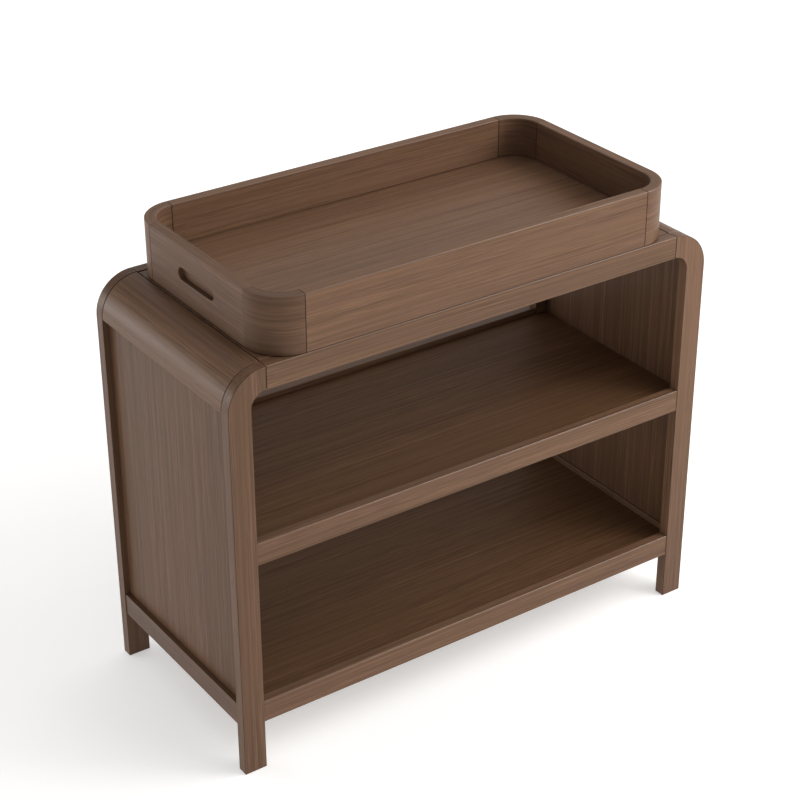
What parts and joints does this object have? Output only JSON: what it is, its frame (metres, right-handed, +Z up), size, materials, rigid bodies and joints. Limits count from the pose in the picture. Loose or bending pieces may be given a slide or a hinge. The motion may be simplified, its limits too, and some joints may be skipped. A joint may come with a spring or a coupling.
{
  "type": "changing table",
  "caption": "Freestanding wooden changing table: a frame with rounded shoulders, panelled sides and open shelves, and a rounded tray on top that lifts off.",
  "frame": {"origin": "on the floor under the middle of the table", "axes": "+X to the right as seen from the front, +Y to the back, +Z up"},
  "size_m": [1.119, 0.5, 0.9915],
  "materials": {
    "wood": "brown stain with fine dark grain, satin lacquer",
    "joint_wood": "plain pale hardwood",
    "steel": "zinc plated",
    "pad": "matte"
  },
  "bodies": {
    "case": {"bottom_shelf": "wood", "cam_bolts": "steel", "cam_locks": "steel", "frame_tenons": "joint_wood", "front_bottom_rail": "wood", "front_left_leg": "wood", "front_right_leg": "wood", "front_shelf_rail": "wood", "front_top_rail": "wood", "left_bottom_rail": "wood", "left_corner_panel": "wood", "left_shelf_bearer": "wood", "left_side_panel": "wood", "middle_shelf": "wood", "rear_bottom_rail": "wood", "rear_left_leg": "wood", "rear_right_leg": "wood", "rear_shelf_rail": "wood", "rear_top_rail": "wood", "right_bottom_rail": "wood", "right_corner_panel": "wood", "right_shelf_bearer": "wood", "right_side_panel": "wood", "top_panel": "wood"},
    "tray": {"tray_floor": "wood", "tray_front_left_corner": "wood", "tray_front_right_corner": "wood", "tray_front_wall": "wood", "tray_left_wall": "wood", "tray_pads": "pad", "tray_rear_left_corner": "wood", "tray_rear_right_corner": "wood", "tray_rear_wall": "wood", "tray_right_wall": "wood", "tray_splines": "joint_wood"}
  },
  "joints": [
    {"name": "tray_lift", "type": "slide", "parent": "case", "child": "tray", "axis": [0, 0, 1], "range_m": [0, 0.15]}
  ]
}
